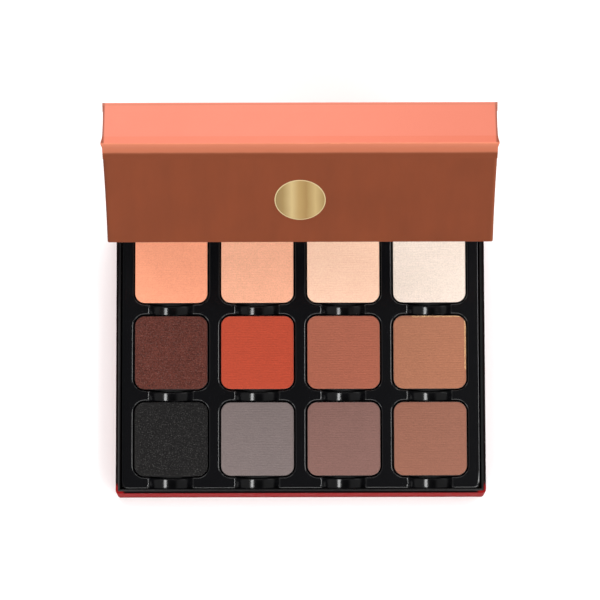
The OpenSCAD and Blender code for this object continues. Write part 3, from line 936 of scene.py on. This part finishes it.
def makeOval():
    wide, long = oval["width"] / 2, oval["length"] / 2
    turns = [2 * math.pi * i / oval["points"] for i in range(oval["points"])]
    rings = [[flapPlace.at(wide * share * math.cos(turn), oval["centre"] - long * share * math.sin(turn),
                           cover["foldRadius"] + rise) for turn in turns] for share, rise in oval["profile"]]
    points, faces = loft(rings)
    badge = build("foilOval", points, faces, [finishes["foil"]])
    middle = Vector(flapPlace.at(0, oval["centre"], cover["foldRadius"]))
    rim = []
    for vertex in badge.data.vertices:
        out = Vector(vertex.co) / mm - middle
        share = math.hypot(out.x / wide, math.hypot(out.y, out.z) / long)
        rim.append(1.0 if share > oval["rimFrom"] else 0.0)
    markPoints(badge, "rim", rim)
    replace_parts(badge, "foil_oval")
    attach(badge, "flap")


makeOval()
print("oval ready")


def dressKept():  # the finishes of the CAD pieces that stay
    replaced = {name for thing in bpy.data.objects for name in thing.get("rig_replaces", [])}
    for part in frame["record"]["subparts"]:
        node = frame["nodes"][part["node"]]
        if part["node"] in replaced:
            continue
        if node.material_slots:
            node.material_slots[0].material = finishes[part["material_slot"]]
        else:
            node.data.materials.append(finishes[part["material_slot"]])


dressKept()
print("kept pieces dressed")

# Camera, target and lens are in millimetres, and what the lamps and the floor have is in metres.
stage = {"camera": (-0.10, -134.46, 1069.49), "target": (-0.10, 15.85, 0.0), "roll": -0.14, "lens": 235.8,
         "aim": (0, 0, 0.03), "floorReach": 4, "floorGlow": 0.08, "sky": 0.36, "zenith": 0.05,
         "zenithFrom": 0.84, "haze": 0.8, "hazeTo": 0.16,
         "lamps": [  # name, place, width, length, power
             ("keyRight", (0.32, 0.076, 0.75), 0.2, 0.16, 1.5),
             ("topFront", (0.1, -0.55, 0.85), 1.1, 0.35, 6.2),
             ("frontLeft", (-0.95, -0.5, 0.5), 0.5, 0.5, 5.6),
             ("frontRight", (0.8, -0.7, 0.6), 0.35, 0.35, 1.6),
             ("back", (0.0, 0.85, 0.85), 1.4, 0.5, 10.0)]}


def floorFill(coords):
    return {"Base Color": mix(noise(coords, 60, 2) * 0.2, tone(246, 246, 246), tone(242, 242, 242)),
            "Roughness": 0.9, "Specular IOR Level": 0.1,
            "Emission Color": (1, 1, 1, 1), "Emission Strength": stage["floorGlow"]}


def makeFloor():
    far = stage["floorReach"]
    ground = bpy.data.meshes.new("floor")
    ground.from_pydata([(-far, -far, 0), (far, -far, 0), (far, far, 0), (-far, far, 0)], [], [(0, 1, 2, 3)])
    ground.materials.append(finish("floorPaper", floorFill))
    floor = bpy.data.objects.new("floor", ground)
    bpy.context.collection.objects.link(floor)


def makeSky():
    world = bpy.data.worlds.new("studio")
    world.use_nodes = True
    lookUp = split(addNode(world.node_tree, "ShaderNodeTexCoord", {}, {}, "Generated"))[2]
    overhead = ((lookUp - stage["zenithFrom"]) / 0.1).clamped()
    sky = stage["sky"] - (stage["sky"] - stage["zenith"]) * overhead  # dark overhead, so gloss stays black
    level = (1 - abs(lookUp) / stage["hazeTo"]).clamped()
    light = sky + level * stage["haze"]  # pale at the horizon, where low views see past the floor
    background = world.node_tree.nodes["Background"]
    world.node_tree.links.new(light.socket, background.inputs["Strength"])
    background.inputs["Color"].default_value = (1, 1, 1, 1)
    bpy.context.scene.world = world


def softbox(name, place, wide, long, power):
    lamp = bpy.data.lights.new(name, "AREA")
    lamp.shape, lamp.size, lamp.size_y, lamp.energy = "RECTANGLE", wide, long, power
    thing = bpy.data.objects.new(name, lamp)
    thing.location = place
    thing.rotation_euler = (Vector(stage["aim"]) - Vector(place)).to_track_quat("-Z", "Y").to_euler()
    bpy.context.collection.objects.link(thing)


def makeCamera():
    eye, aim = Vector(stage["camera"]), Vector(stage["target"])
    forward = (aim - eye).normalized()
    right = forward.cross(Vector((0, 1, 0))).normalized()
    up = right.cross(forward)
    roll = math.radians(stage["roll"])
    across = math.cos(roll) * right + math.sin(roll) * up
    upward = across.cross(forward)
    camera = bpy.data.objects.new("camera", bpy.data.cameras.new("camera"))
    camera.data.sensor_width, camera.data.lens = 36, stage["lens"]
    camera.data.clip_start, camera.data.clip_end = 0.01, 20
    turn = Matrix((across, upward, -forward)).transposed().to_4x4()
    camera.matrix_world = Matrix.Translation(eye * mm) @ turn
    bpy.context.collection.objects.link(camera)
    bpy.context.scene.camera = camera
    bpy.context.scene.view_settings.view_transform = "Standard"


makeFloor()
makeSky()
for lamp in stage["lamps"]:
    softbox(*lamp)
makeCamera()
print("stage ready")
